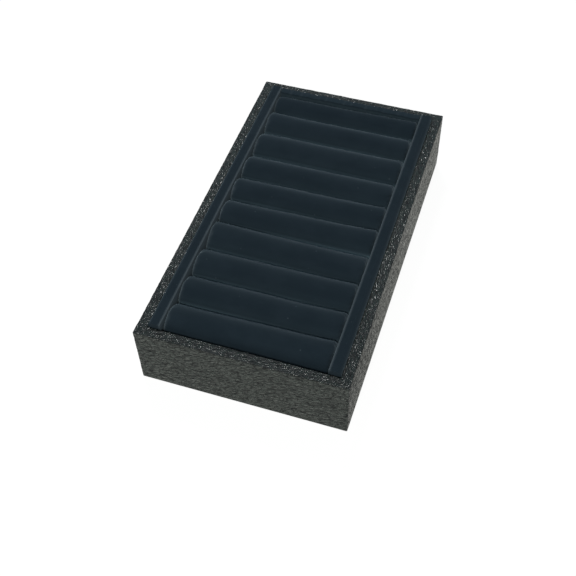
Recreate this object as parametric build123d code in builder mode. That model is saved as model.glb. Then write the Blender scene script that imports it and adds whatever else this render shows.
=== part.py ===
from build123d import *
from math import asin, cos, degrees, radians, sin
import os

# Ring display tray: a board tray covered in leatherette, with a velvet pad that lifts out.
# Millimetres, +Z up. The origin is on the underside, under the middle of the tray.
# X runs across the tray and Y along it. The near end is at -Y.

# Driving dimensions of the tray
tray_width = 110.0
tray_length = 200.0
tray_height = 38.0
wall_board_thick = 5.0
base_board_thick = 2.5
leatherette_thick = 0.3
arris_round = 0.5
turn_under = 12.0
felt_thick = 0.5
felt_inset = 2.0
lining_thick = 0.3
lining_gap = 0.2

# Driving dimensions of the lift-out pad
pad_side_gap = 0.3
pad_far_gap = 0.3
pad_near_gap = 0.6
pad_card_thick = 1.5
underlay_thick = 10.0
underlay_gap = 0.2
velvet_thick = 0.6
glue_line = 0.05

# The velvet-covered rails down both sides, and the thin strip behind the farthest bar
rail_width = 6.2
rail_proud = 2.7
rail_round = 0.9
rail_outer_round = 2.0
strip_thick = 3.6
strip_velvet = 0.45
strip_proud = 2.3
strip_round = 0.4
strip_end_gap = 0.3

# The soft bars that hold the rings. They are cut by hand, so their widths differ a little.
bar_proud = 3.0
bar_gap = 0.2
bar_end_gap = 0.2
bar_setback = 0.8
bar_end_round = 1.6
bar_shoulder_radius = 7.0
bar_crown_flattening = 1.9
bar_shares = [0.84, 0.95, 1.085, 1.035, 0.935, 0.96, 1.04, 1.055, 0.99, 1.02]
bar_count = 10

# Heights, from the underside up
wrap_bottom = felt_thick
base_bottom = wrap_bottom + leatherette_thick
base_top = base_bottom + base_board_thick
wall_top = tray_height - leatherette_thick
lining_top = base_top + lining_thick
card_top = lining_top + pad_card_thick
underlay_top = card_top + underlay_thick
rail_top = tray_height + rail_proud
strip_top = tray_height + strip_proud
bar_top = tray_height + bar_proud

# Plan sizes, from the outside in
board_width = tray_width - 2 * leatherette_thick
board_length = tray_length - 2 * leatherette_thick
cavity_width = board_width - 2 * wall_board_thick - 2 * leatherette_thick
cavity_length = board_length - 2 * wall_board_thick - 2 * leatherette_thick
pad_width = cavity_width - 2 * pad_side_gap
pad_far = cavity_length / 2 - pad_far_gap
pad_near = -cavity_length / 2 + pad_near_gap
pad_length = pad_far - pad_near
pad_middle = (pad_far + pad_near) / 2
rail_centre = (pad_width - rail_width) / 2
bay_width = pad_width - 2 * rail_width
bar_row_far = pad_far - strip_thick
bar_row_near = pad_near + bar_setback
bar_half_length = bay_width / 2 - bar_end_gap

# A fillet stays thinner than the skin that it rounds
wrap_round = min(arris_round, 1.5 * leatherette_thick)
rail_velvet_round = min(rail_round, 1.6 * velvet_thick)
strip_velvet_round = min(strip_round, 0.9 * strip_velvet)

# A rail's outer edge is rounder, and its board's edge follows it under the velvet
rail_board_round = rail_outer_round - velvet_thick

# Angles, from the middle of a bar's length, at which its rounded end is sectioned
end_angles = [0, 30, 60, 90]


def bar_section(x, centre, half_width, bottom, top, shoulder, crown):
    """One cross-section of a bar at x: upright sides, two shoulder arcs and a flatter crown arc."""
    lean = asin((half_width - shoulder) / (crown - shoulder))
    spring = top - crown + (crown - shoulder) * cos(lean)
    shoulder_sweep = degrees(lean) - 90
    with BuildSketch(Plane.YZ.offset(x)) as section:
        with BuildLine():
            near_side = Line((centre - half_width, bottom), (centre - half_width, spring))
            near_shoulder = JernArc(near_side @ 1, near_side % 1, shoulder, shoulder_sweep)
            top_arc = JernArc(near_shoulder @ 1, near_shoulder % 1, crown, -2 * degrees(lean))
            far_shoulder = JernArc(top_arc @ 1, top_arc % 1, shoulder, shoulder_sweep)
            Polyline(far_shoulder @ 1, (centre + half_width, bottom), near_side @ 0)
        make_face()
    return section.sketch


def bar_sections(centre, width, bottom, cover):
    """The cross-sections of a bar, from end to end, at a depth of cover below the velvet's face."""
    half_width = width / 2
    shoulder = min(bar_shoulder_radius, 0.95 * half_width)
    crown = half_width + bar_crown_flattening
    end_round = bar_end_round - cover
    straight = bar_half_length - bar_end_round
    stations = [(straight + end_round * sin(radians(a)), cos(radians(a))) for a in end_angles]
    sections = []
    for x, fullness in [(-x, f) for x, f in reversed(stations)] + stations:
        inset = cover + end_round * (1 - fullness)
        sections.append(
            bar_section(x, centre, half_width - inset, bottom, bar_top - inset, shoulder - inset, crown - inset)
        )
    return sections


# The tray: a base board with four wall boards standing on it
with BuildPart() as base_board:
    with BuildSketch(Plane.XY.offset(base_bottom)):
        Rectangle(board_width, board_length)
    extrude(amount=base_board_thick)
base_board.part.label = "base_board"

side_wall_centre = (board_width - wall_board_thick) / 2
with BuildPart() as left_wall_board:
    with BuildSketch(Plane.XY.offset(base_top)):
        with Locations((-side_wall_centre, 0)):
            Rectangle(wall_board_thick, board_length)
    extrude(amount=wall_top - base_top)
left_wall_board.part.label = "left_wall_board"

with BuildPart() as right_wall_board:
    add(left_wall_board.part)
    mirror(about=Plane.YZ, mode=Mode.REPLACE)
right_wall_board.part.label = "right_wall_board"

end_wall_centre = (board_length - wall_board_thick) / 2
with BuildPart() as near_wall_board:
    with BuildSketch(Plane.XY.offset(base_top)):
        with Locations((0, -end_wall_centre)):
            Rectangle(board_width - 2 * wall_board_thick, wall_board_thick)
    extrude(amount=wall_top - base_top)
near_wall_board.part.label = "near_wall_board"

with BuildPart() as far_wall_board:
    add(near_wall_board.part)
    mirror(about=Plane.XZ, mode=Mode.REPLACE)
far_wall_board.part.label = "far_wall_board"

# The leatherette: up the outside, over the rim, down the inside and turned under the base
with BuildPart() as leatherette_wrap:
    with BuildSketch(Plane.XY.offset(wrap_bottom)):
        Rectangle(tray_width, tray_length)
    extrude(amount=tray_height - wrap_bottom)
    outer_arrises = leatherette_wrap.edges().filter_by(Axis.Z) + leatherette_wrap.faces().sort_by(Axis.Z)[-1].edges()
    fillet(outer_arrises, radius=wrap_round)
    with BuildSketch(Plane.XY.offset(base_bottom)):
        Rectangle(board_width, board_length)
    extrude(amount=wall_top - base_bottom, mode=Mode.SUBTRACT)
    with BuildSketch(Plane.XY.offset(base_top)):
        Rectangle(cavity_width + 2 * leatherette_thick, cavity_length + 2 * leatherette_thick)
    extrude(amount=wall_top - base_top)
    with BuildSketch(Plane.XY.offset(base_top)):
        Rectangle(cavity_width, cavity_length)
    extrude(amount=tray_height - base_top, mode=Mode.SUBTRACT)
    with BuildSketch(Plane.XY.offset(wrap_bottom)):
        Rectangle(tray_width - 2 * turn_under, tray_length - 2 * turn_under)
    extrude(amount=leatherette_thick, mode=Mode.SUBTRACT)
leatherette_wrap.part.label = "leatherette_wrap"

with BuildPart() as underside_felt:
    with BuildSketch():
        Rectangle(tray_width - 2 * felt_inset, tray_length - 2 * felt_inset)
    extrude(amount=felt_thick)
underside_felt.part.label = "underside_felt"

with BuildPart() as floor_lining:
    with BuildSketch(Plane.XY.offset(base_top)):
        Rectangle(cavity_width - 2 * lining_gap, cavity_length - 2 * lining_gap)
    extrude(amount=lining_thick)
floor_lining.part.label = "floor_lining"

# The pad: a card with a foam underlay between two velvet-covered rails
with BuildPart() as pad_card:
    with BuildSketch(Plane.XY.offset(lining_top)):
        with Locations((0, pad_middle)):
            Rectangle(pad_width, pad_length)
    extrude(amount=pad_card_thick)
pad_card.part.label = "pad_card"

with BuildPart() as foam_underlay:
    with BuildSketch(Plane.XY.offset(card_top)):
        with Locations((0, pad_middle)):
            Rectangle(bay_width - 2 * underlay_gap, pad_length)
    extrude(amount=underlay_thick)
foam_underlay.part.label = "foam_underlay"

with BuildPart() as left_rail_board:
    with BuildSketch(Plane.XY.offset(card_top)):
        with Locations((-rail_centre, pad_middle)):
            Rectangle(rail_width - 2 * velvet_thick, pad_length - 2 * velvet_thick)
    extrude(amount=rail_top - velvet_thick - card_top)
    top_edges = left_rail_board.faces().sort_by(Axis.Z)[-1].edges()
    fillet(top_edges.sort_by(Axis.X)[0], radius=rail_board_round)
left_rail_board.part.label = "left_rail_board"

with BuildPart() as left_rail_velvet:
    with BuildSketch(Plane.XY.offset(card_top)):
        with Locations((-rail_centre, pad_middle)):
            Rectangle(rail_width, pad_length)
    extrude(amount=rail_top - card_top)
    top_edges = left_rail_velvet.faces().sort_by(Axis.Z)[-1].edges()
    fillet(top_edges.sort_by(Axis.X)[0], radius=rail_outer_round)
    fillet(left_rail_velvet.faces().sort_by(Axis.Z)[-1].edges().sort_by(Axis.X)[1:], radius=rail_velvet_round)
    add(left_rail_board.part, mode=Mode.SUBTRACT)
left_rail_velvet.part.label = "left_rail_velvet"

with BuildPart() as right_rail_board:
    add(left_rail_board.part)
    mirror(about=Plane.YZ, mode=Mode.REPLACE)
right_rail_board.part.label = "right_rail_board"

with BuildPart() as right_rail_velvet:
    add(left_rail_velvet.part)
    mirror(about=Plane.YZ, mode=Mode.REPLACE)
right_rail_velvet.part.label = "right_rail_velvet"

# The thin strip that closes the pad behind the farthest bar
strip_width = bay_width - 2 * strip_end_gap
strip_centre = pad_far - strip_thick / 2
with BuildPart() as far_strip_card:
    with BuildSketch(Plane.XY.offset(underlay_top)):
        with Locations((0, strip_centre)):
            Rectangle(strip_width - 2 * strip_velvet, strip_thick - 2 * strip_velvet)
    extrude(amount=strip_top - strip_velvet - underlay_top)
far_strip_card.part.label = "far_strip_card"

with BuildPart() as far_strip_velvet:
    with BuildSketch(Plane.XY.offset(underlay_top)):
        with Locations((0, strip_centre)):
            Rectangle(strip_width, strip_thick)
    extrude(amount=strip_top - underlay_top)
    fillet(far_strip_velvet.faces().sort_by(Axis.Z)[-1].edges(), radius=strip_velvet_round)
    add(far_strip_card.part, mode=Mode.SUBTRACT)
far_strip_velvet.part.label = "far_strip_velvet"

pieces = [
    base_board.part,
    left_wall_board.part,
    right_wall_board.part,
    near_wall_board.part,
    far_wall_board.part,
    leatherette_wrap.part,
    underside_felt.part,
    floor_lining.part,
    pad_card.part,
    foam_underlay.part,
    left_rail_board.part,
    left_rail_velvet.part,
    right_rail_board.part,
    right_rail_velvet.part,
    far_strip_card.part,
    far_strip_velvet.part,
]

# The soft bars, from the far end to the near end: a foam core in a velvet cover, open below
shares = [bar_shares[number % len(bar_shares)] for number in range(bar_count)]
share_length = (bar_row_far - bar_row_near) / sum(shares)
bar_far = bar_row_far
for number, share in enumerate(shares, start=1):
    slot = share * share_length
    centre = bar_far - slot / 2
    width = slot - bar_gap
    bar_far -= slot

    with BuildPart() as foam_bar:
        loft(bar_sections(centre, width, underlay_top, velvet_thick + glue_line), ruled=True)
    foam_bar.part.label = f"foam_bar_{number:02d}"

    with BuildPart() as velvet_bar:
        loft(bar_sections(centre, width, underlay_top, 0), ruled=True)
        loft(bar_sections(centre, width, card_top, velvet_thick), ruled=True, mode=Mode.SUBTRACT)
    velvet_bar.part.label = f"velvet_bar_{number:02d}"

    pieces += [foam_bar.part, velvet_bar.part]

os.makedirs("parts", exist_ok=True)
for piece in pieces:
    export_step(piece, f"parts/{piece.label}.step")
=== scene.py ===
"""Looks of a ring display tray: a board tray in leatherette that holds a lift-out velvet pad.

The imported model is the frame, in metres. +X runs across the tray to the right, +Y along the tray
to its far end, and +Z up from the underside.
"""

import logging
import math
from dataclasses import dataclass, field
from enum import Enum

import bmesh
import bpy
from bmesh.types import BMEdge, BMesh, BMVert
from bpy.types import Material, Mesh, Object, World
from mathutils import Matrix, Vector, noise

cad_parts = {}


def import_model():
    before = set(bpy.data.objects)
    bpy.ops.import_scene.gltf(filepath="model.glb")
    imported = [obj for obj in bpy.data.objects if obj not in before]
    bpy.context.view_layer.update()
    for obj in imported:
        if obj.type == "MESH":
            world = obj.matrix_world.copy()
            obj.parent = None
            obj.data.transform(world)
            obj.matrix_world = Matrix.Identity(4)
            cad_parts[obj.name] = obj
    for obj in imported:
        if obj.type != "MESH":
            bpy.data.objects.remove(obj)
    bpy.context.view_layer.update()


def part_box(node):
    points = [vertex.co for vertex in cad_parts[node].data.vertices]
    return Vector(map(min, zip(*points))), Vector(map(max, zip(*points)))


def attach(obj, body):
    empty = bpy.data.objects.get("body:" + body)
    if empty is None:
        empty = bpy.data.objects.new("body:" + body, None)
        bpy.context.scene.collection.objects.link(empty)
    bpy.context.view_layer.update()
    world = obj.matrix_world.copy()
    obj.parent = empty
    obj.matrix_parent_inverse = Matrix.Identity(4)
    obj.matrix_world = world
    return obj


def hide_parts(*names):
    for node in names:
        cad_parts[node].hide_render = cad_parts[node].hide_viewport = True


LOG = logging.getLogger("ring_tray")
MM = 0.001
HAIR = 1e-6  # metres: points that lie closer than this are one
Range = tuple[float, float]
Triple = tuple[float, float, float]
Colour = tuple[float, float, float, float]


class Body(Enum):
    """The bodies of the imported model, which the pieces ride on."""

    TRAY = "tray"
    PAD = "pad"


class Slot(Enum):
    """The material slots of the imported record."""

    LEATHERETTE = "leatherette"
    VELVET = "velvet"
    FOAM = "foam"


class Side(Enum):
    """The two long sides of the pad, with the direction from the pad's middle to each."""

    LEFT = -1
    RIGHT = 1


class Wall(Enum):
    """The tray's walls, in the order in which the flat covering runs along them."""

    NEAR = 0
    RIGHT = 1
    FAR = 2
    LEFT = 3

    @property
    def is_long(self) -> bool:
        """Whether it is one of the two long walls."""
        return self in (Wall.RIGHT, Wall.LEFT)


class Signal:
    """One output of a shader node, which takes part in Python arithmetic."""

    def __init__(self, shader: "Shader", socket: bpy.types.NodeSocket) -> None:
        """Keeps the socket and the shader that it belongs to."""
        self.shader = shader
        self.socket = socket

    def __add__(self, other: "Signal | float") -> "Signal":
        """Adds a value."""
        return self.shader.maths("ADD", self, other)

    def __radd__(self, other: float) -> "Signal":
        """Adds to a number."""
        return self.shader.maths("ADD", other, self)

    def __sub__(self, other: "Signal | float") -> "Signal":
        """Subtracts a value."""
        return self.shader.maths("SUBTRACT", self, other)

    def __rsub__(self, other: float) -> "Signal":
        """Subtracts from a number."""
        return self.shader.maths("SUBTRACT", other, self)

    def __mul__(self, other: "Signal | float") -> "Signal":
        """Multiplies by a value."""
        return self.shader.maths("MULTIPLY", self, other)

    def __rmul__(self, other: float) -> "Signal":
        """Multiplies a number."""
        return self.shader.maths("MULTIPLY", other, self)

    def __pow__(self, other: float) -> "Signal":
        """Raises to a power."""
        return self.shader.maths("POWER", self, other)


class Shader:
    """A material, or the world, in the making: it adds nodes and joins them up."""

    def __init__(self, name: str, world: bool = False) -> None:
        """Starts an empty material, or an empty world, of that name."""
        self.owner = (bpy.data.worlds if world else bpy.data.materials).new(name)
        self.owner.use_nodes = True
        self.tree = self.owner.node_tree
        self.tree.nodes.clear()
        self.output_kind = "ShaderNodeOutputWorld" if world else "ShaderNodeOutputMaterial"

    def node(
        self,
        kind: str,
        settings: dict | None = None,
        inputs: dict | None = None,
        output: int | str = 0,
    ) -> Signal:
        """Adds a node.

        Args:
            kind: The node's type.
            settings: Its properties, set first.
            inputs: A number, tuple or signal for each input, by name or index.
            output: Which output to return.

        Returns:
            The chosen output.
        """
        made = self.tree.nodes.new(kind)
        for name, value in (settings or {}).items():
            setattr(made, name, value)
        for key, value in (inputs or {}).items():
            if isinstance(value, Signal):
                self.tree.links.new(value.socket, made.inputs[key])
            else:
                made.inputs[key].default_value = value
        return Signal(self, made.outputs[output])

    def maths(self, operation: str, first: Signal | float, second: Signal | float) -> Signal:
        """Joins two values by a Math node of that operation."""
        return self.node("ShaderNodeMath", {"operation": operation}, {0: first, 1: second})

    def ramp(self, value: Signal, low: float, high: float) -> Signal:
        """Turns a value smoothly into 0 at low and 1 at high, whichever is larger."""
        settings = {"interpolation_type": "SMOOTHSTEP"}
        inputs = {"Value": value, "From Min": low, "From Max": high}
        return self.node("ShaderNodeMapRange", settings, inputs)

    def object_position(self) -> Signal:
        """The point on the piece, in the frame's metres."""
        return self.node("ShaderNodeTexCoord", output="Object")

    def map_position(self, layer: str) -> Signal:
        """The point on the piece's own map of that name, in metres."""
        return self.node("ShaderNodeUVMap", {"uv_map": layer})

    def attribute(self, name: str) -> Signal:
        """A number that the piece's mesh carries at its vertices."""
        return self.node("ShaderNodeAttribute", {"attribute_name": name}, output="Fac")

    def coordinate(self, position: Signal, axis: str) -> Signal:
        """One coordinate of a point, by the name of its axis."""
        return self.node("ShaderNodeSeparateXYZ", None, {0: position}, axis)

    def scaled(self, position: Signal, cell: Triple, turn: float = 0.0) -> Signal:
        """Stretches a pattern so that one unit of it covers a cell.

        Args:
            position: The point that the pattern is read at.
            cell: The size of a unit along each axis, in metres.
            turn: How far the pattern is turned about Z, in radians.

        Returns:
            The stretched point.
        """
        inputs = {"Vector": position, "Scale": cell, "Rotation": (0.0, 0.0, turn)}
        return self.node("ShaderNodeMapping", {"vector_type": "TEXTURE"}, inputs)

    def clouds(self, position: Signal, detail: float, roughness: float = 0.5) -> Signal:
        """A soft noise from 0 to 1, one unit of position to a swell."""
        inputs = {"Vector": position, "Scale": 1.0, "Detail": detail, "Roughness": roughness}
        return self.node("ShaderNodeTexNoise", None, inputs)

    def warped(self, position: Signal, cell: Triple, reach: float) -> Signal:
        """Shifts points about, so that a pattern read there loses its straight lines.

        Args:
            position: The points.
            cell: The size of one swell of the shift, in metres.
            reach: How far a point may be shifted, in metres.

        Returns:
            The shifted points.
        """
        noise_inputs = {"Vector": self.scaled(position, cell), "Scale": 1.0, "Detail": 1.0}
        shift = self.node("ShaderNodeTexNoise", None, noise_inputs, "Color")
        shift_inputs = {0: shift, 1: (reach, reach, reach), 2: position}
        return self.node("ShaderNodeVectorMath", {"operation": "MULTIPLY_ADD"}, shift_inputs)

    def cells(self, position: Signal, feature: str) -> Signal:
        """Distances in a pattern of cells, one unit of position to a cell."""
        inputs = {"Vector": position, "Scale": 1.0}
        return self.node("ShaderNodeTexVoronoi", {"feature": feature}, inputs, "Distance")

    def tint(self, share: Signal | float, plain: Colour | Signal, other: Colour | Signal) -> Signal:
        """Mixes two colours, all plain at a share of 0 and all other at 1."""
        settings = {"data_type": "RGBA", "clamp_factor": True}
        return self.node("ShaderNodeMix", settings, {0: share, 6: plain, 7: other}, 2)

    def relief(self, height: Signal, depth: float, under: Signal | None = None) -> Signal:
        """Turns a height from 0 to 1 into a normal.

        Args:
            height: The height.
            depth: What a height of 1 stands for, in metres.
            under: A coarser relief that this one lies on.

        Returns:
            The normal.
        """
        inputs = {"Height": height, "Distance": depth, "Strength": 1.0}
        if under is not None:
            inputs["Normal"] = under
        return self.node("ShaderNodeBump", None, inputs)

    def surface(self, **inputs: Signal | float | Colour) -> Material:
        """Ends the material in a Principled shader.

        Args:
            **inputs: The shader's inputs, by name with underscores for spaces.

        Returns:
            The finished material.
        """
        named = {name.replace("_", " "): value for name, value in inputs.items()}
        return self.finish(self.node("ShaderNodeBsdfPrincipled", None, named))

    def finish(self, last: Signal) -> Material | World:
        """Joins the last shader to the output, and returns the material or the world."""
        output = self.tree.nodes.new(self.output_kind)
        self.tree.links.new(last.socket, output.inputs["Surface"])
        return self.owner


@dataclass(frozen=True)
class Leatherette:
    """Black leatherette with an embossed grain, which follows the piece's own map."""

    black: Colour = (0.0185, 0.0255, 0.0220, 1.0)
    worn: Colour = (0.0295, 0.0380, 0.0335, 1.0)
    # painted_shade_black: painted shade for the grain's creases and furrows and for the rim top
    painted_shade_black: Colour = (0.003, 0.004, 0.004, 1.0)
    warp: Triple = (2.4 * MM, 1.6 * MM, 1.0)
    warp_reach: float = 0.8 * MM
    hummock: Triple = (3.8 * MM, 1.2 * MM, 1.0)
    pebble: Triple = (3.8 * MM, 1.1 * MM, 1.0)
    stroke: Triple = (5.6 * MM, 0.9 * MM, 1.0)
    nub: Triple = (1.9 * MM, 1.1 * MM, 1.0)
    slant: float = 0.28
    grit: float = 0.6
    crease: Range = (0.02, 0.16)
    dome: Range = (0.0, 0.30)
    furrow: Range = (0.34, 0.5)
    wear: Range = (0.35, 0.65)
    hummock_depth: float = 0.46 * MM
    pebble_depth: float = 0.14 * MM
    stroke_depth: float = 0.21 * MM
    hollow_shade: float = 0.75
    gloss: float = 0.2
    crease_matt: float = 0.45
    furrow_matt: float = 0.3
    wall_nubs: float = 0.8
    # rim_painted_shade: painted shade on the rim top, most at the near end
    rim_painted_shade: float = 0.34
    rim_hummocks: float = 0.5
    rim_nubs: float = 2.6
    rim_gloss: float = 0.05

    def material(self) -> Material:
        """The finish as a material."""
        shader = Shader("leatherette")
        place = shader.map_position("grain")
        hummocks = shader.clouds(shader.scaled(place, self.hummock, self.slant), detail=1.0)
        warped = shader.warped(place, self.warp, self.warp_reach)
        edge = shader.cells(shader.scaled(warped, self.pebble, self.slant), "DISTANCE_TO_EDGE")
        dome = shader.ramp(edge, *self.dome)
        crease = 1.0 - shader.ramp(edge, *self.crease)
        strokes = shader.clouds(shader.scaled(warped, self.stroke, self.slant), 1.0, self.grit)
        furrow = 1.0 - shader.ramp(strokes, *self.furrow)
        nubs = shader.clouds(shader.scaled(place, self.nub), 1.0, self.grit)
        rim = shader.attribute("rim")
        rolling = shader.relief(hummocks * (1.0 + self.rim_hummocks * rim), self.hummock_depth)
        pebbled = shader.relief(dome, self.pebble_depth, rolling)
        nubbed = strokes + (self.wall_nubs + self.rim_nubs * rim) * nubs
        shade = shader.tint(shader.ramp(hummocks, *self.wear), self.black, self.worn)
        # painted shade: the grain's creases and furrows, and the rim top, are darkened in colour
        dark = (crease + furrow) * self.hollow_shade + rim**0.5 * self.rim_painted_shade
        matt = self.gloss + self.crease_matt * crease + self.furrow_matt * furrow
        return shader.surface(
            Base_Color=shader.tint(dark, shade, self.painted_shade_black),
            Roughness=matt - self.rim_gloss * rim,
            Specular_IOR_Level=0.33,
            Normal=shader.relief(nubbed, self.stroke_depth, pebbled),
        )


@dataclass(frozen=True)
class Velvet:
    """Near-black navy velvet: a short pile that glows where it is seen edge on."""

    navy: Colour = (0.0060, 0.0116, 0.0168, 1.0)
    brushed: Colour = (0.0077, 0.0139, 0.0197, 1.0)
    # upright: a lighter navy, painted fill light against the shade in the bars' slots and on the
    # far strip
    upright: Colour = (0.0680, 0.1080, 0.1350, 1.0)
    # rubbed: a lighter colour painted as sheen highlights on edges and wrinkles, partly real wear
    # on the rails' edges
    wear_and_sheen: Colour = (0.090, 0.110, 0.125, 1.0)
    glow: Colour = (0.58, 0.76, 0.90, 1.0)
    blotch: Triple = (14 * MM, 9 * MM, 9 * MM)
    pile: Triple = (0.5 * MM, 0.5 * MM, 0.5 * MM)
    speck: Triple = (7 * MM, 7 * MM, 7 * MM)
    brushing: Range = (0.35, 0.7)
    lint: Range = (0.03, 0.07)
    lint_share: float = 0.2
    least_edge_light: float = 0.1
    pile_edge_light: float = 0.9
    pile_depth: float = 0.05 * MM
    sheen: float = 0.165

    def material(self, name: str = "velvet") -> Material:
        """The finish as a material of that name."""
        shader = Shader(name)
        place = shader.object_position()
        blotches = shader.clouds(shader.scaled(place, self.blotch), detail=3.0, roughness=0.6)
        pile = shader.clouds(shader.scaled(place, self.pile), detail=2.0, roughness=0.7)
        specks = shader.cells(shader.scaled(place, self.speck), "F1")
        lint = 1.0 - shader.ramp(specks, *self.lint)
        shade = shader.tint(shader.ramp(blotches, *self.brushing), self.navy, self.brushed)
        # painted fill light: a lighter navy where the slots and the far strip lie in shade
        shade = shader.tint(shader.attribute("painted_fill_light"), shade, self.upright)
        # painted sheen highlights and some wear where the rubbed mask says, with real lint specks
        wear_sheen = shader.attribute("wear_and_sheen") * (self.least_edge_light + self.pile_edge_light * pile)
        sheen_wear_and_lint = wear_sheen + self.lint_share * lint
        return shader.surface(
            Base_Color=shader.tint(sheen_wear_and_lint, shade, self.wear_and_sheen),
            Roughness=0.95,
            Specular_IOR_Level=0.1,
            Sheen_Weight=self.sheen,
            Sheen_Roughness=0.5,
            Sheen_Tint=self.glow,
            Normal=shader.relief(pile, self.pile_depth),
        )


@dataclass(frozen=True)
class Foam:
    """Dark grey upholstery foam with open pores."""

    grey: Colour = (0.052, 0.052, 0.056, 1.0)
    painted_pore_shade: Colour = (0.016, 0.016, 0.018, 1.0)
    pore: Triple = (0.7 * MM, 0.7 * MM, 0.7 * MM)
    opening: Range = (0.15, 0.45)
    pore_depth: float = 0.15 * MM

    def material(self) -> Material:
        """The finish as a material."""
        shader = Shader("foam")
        edge = shader.cells(shader.scaled(shader.object_position(), self.pore), "F1")
        # the open pores are darkened in colour as painted shade
        open_cell = 1.0 - shader.ramp(edge, *self.opening)
        return shader.surface(
            Base_Color=shader.tint(open_cell, self.grey, self.painted_pore_shade),
            Roughness=0.95,
            Normal=shader.relief(1.0 - open_cell, self.pore_depth),
        )


@dataclass(frozen=True)
class Fibreboard:
    """Medium brown fibreboard: pressed fibres with a faint layering through the thickness."""

    brown: Colour = (0.36, 0.26, 0.17, 1.0)
    fibre_brown: Colour = (0.27, 0.18, 0.11, 1.0)
    fibre: Triple = (1.6 * MM, 1.6 * MM, 0.35 * MM)
    fibre_range: Range = (0.35, 0.7)
    fibre_depth: float = 0.05 * MM

    def material(self) -> Material:
        """The finish as a material."""
        shader = Shader("fibreboard")
        place = shader.object_position()
        fibres = shader.clouds(shader.scaled(place, self.fibre), detail=4.0, roughness=0.7)
        return shader.surface(
            Base_Color=shader.tint(
                shader.ramp(fibres, *self.fibre_range), self.brown, self.fibre_brown
            ),
            Roughness=0.85,
            Normal=shader.relief(fibres, self.fibre_depth),
        )


@dataclass(frozen=True)
class GreyCard:
    """Grey recycled card with flecks."""

    grey: Colour = (0.30, 0.28, 0.25, 1.0)
    fleck_grey: Colour = (0.16, 0.15, 0.14, 1.0)
    ply: Triple = (3.0 * MM, 3.0 * MM, 0.2 * MM)
    fleck: Triple = (2.2 * MM, 2.2 * MM, 2.2 * MM)
    fleck_range: Range = (0.05, 0.16)
    fleck_share: float = 0.6
    ply_share: float = 0.3
    ply_depth: float = 0.04 * MM

    def material(self) -> Material:
        """The finish as a material."""
        shader = Shader("grey_card")
        place = shader.object_position()
        plies = shader.clouds(shader.scaled(place, self.ply), detail=3.0, roughness=0.6)
        specks = shader.cells(shader.scaled(place, self.fleck), "F1")
        flecks = 1.0 - shader.ramp(specks, *self.fleck_range)
        dark = flecks * self.fleck_share + plies * self.ply_share
        return shader.surface(
            Base_Color=shader.tint(dark, self.grey, self.fleck_grey),
            Roughness=0.9,
            Normal=shader.relief(plies, self.ply_depth),
        )


@dataclass(frozen=True)
class LiningPaper:
    """Black lining paper with a faint laid texture."""

    black: Colour = (0.030, 0.030, 0.032, 1.0)
    pale: Colour = (0.045, 0.045, 0.047, 1.0)
    fibre: Triple = (1.2 * MM, 0.4 * MM, 1.0 * MM)
    fibre_depth: float = 0.02 * MM

    def material(self) -> Material:
        """The finish as a material."""
        shader = Shader("lining_paper")
        place = shader.object_position()
        fibres = shader.clouds(shader.scaled(place, self.fibre), detail=3.0, roughness=0.6)
        return shader.surface(
            Base_Color=shader.tint(fibres, self.black, self.pale),
            Roughness=0.7,
            Normal=shader.relief(fibres, self.fibre_depth),
        )


@dataclass(frozen=True)
class Felt:
    """Black wool felt: matted fibres that lie in every direction."""

    black: Colour = (0.022, 0.022, 0.025, 1.0)
    fibre_grey: Colour = (0.060, 0.060, 0.064, 1.0)
    mat: Triple = (0.6 * MM, 2.2 * MM, 0.6 * MM)
    mat_range: Range = (0.5, 0.75)
    mat_depth: float = 0.12 * MM
    cross_turn: float = 1.1

    def material(self) -> Material:
        """The finish as a material."""
        shader = Shader("underside_felt")
        place = shader.object_position()
        lengthways, crossways = (
            shader.clouds(shader.scaled(place, self.mat, turn), detail=3.0, roughness=0.7)
            for turn in (0.0, self.cross_turn)
        )
        matted = shader.maths("MAXIMUM", lengthways, crossways)
        return shader.surface(
            Base_Color=shader.tint(
                shader.ramp(matted, *self.mat_range), self.black, self.fibre_grey
            ),
            Roughness=1.0,
            Sheen_Weight=0.15,
            Sheen_Roughness=0.5,
            Normal=shader.relief(matted, self.mat_depth),
        )


class Pen:
    """Draws a chain of edges in the YZ plane, from point to point, with mesh operators."""

    def __init__(self, y: float, z: float) -> None:
        """Puts the pen down at the first point."""
        self.bm = bmesh.new()
        self.first = self.bm.verts.new((0.0, y, z))
        self.tip = self.first

    def line(self, y: float, z: float, steps: int = 1) -> None:
        """Draws a straight line to a point, in that many steps."""
        start = self.tip.co.copy()
        for step in range(1, steps + 1):
            self.tip = bmesh.ops.extrude_vert_indiv(self.bm, verts=[self.tip])["verts"][0]
            self.tip.co = start.lerp(Vector((0.0, y, z)), step / steps)

    def arc(self, y: float, z: float, angle: float, steps: int) -> None:
        """Draws an arc about a centre, through an angle about +X."""
        made = bmesh.ops.spin(
            self.bm,
            geom=[self.tip],
            cent=(0.0, y, z),
            axis=(1.0, 0.0, 0.0),
            angle=angle,
            steps=steps,
        )
        self.tip = [element for element in made["geom_last"] if isinstance(element, BMVert)][0]

    def close(self) -> BMesh:
        """Joins the last point to the first and returns the mesh."""
        self.bm.edges.new((self.tip, self.first))
        return self.bm


def clamp(value: float, low: float, high: float) -> float:
    """The value, held between low and high."""
    return min(max(value, low), high)


def smoothstep(value: float, low: float, high: float) -> float:
    """0 at low, 1 at high and a smooth turn in between."""
    share = clamp((value - low) / (high - low), 0.0, 1.0)
    return share * share * (3.0 - 2.0 * share)


def swell(place: Triple, cell: Triple, seed: float) -> float:
    """A soft noise of about -1 to 1.

    Args:
        place: Where it is read, in metres.
        cell: The size of one swell along each axis, in metres.
        seed: Which noise it is.

    Returns:
        The height of the noise there.
    """
    gain = 1.6
    x, y, z = (part / size for part, size in zip(place, cell))
    return noise.noise(Vector((x + seed, y - seed, z + 0.5 * seed))) * gain


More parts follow.
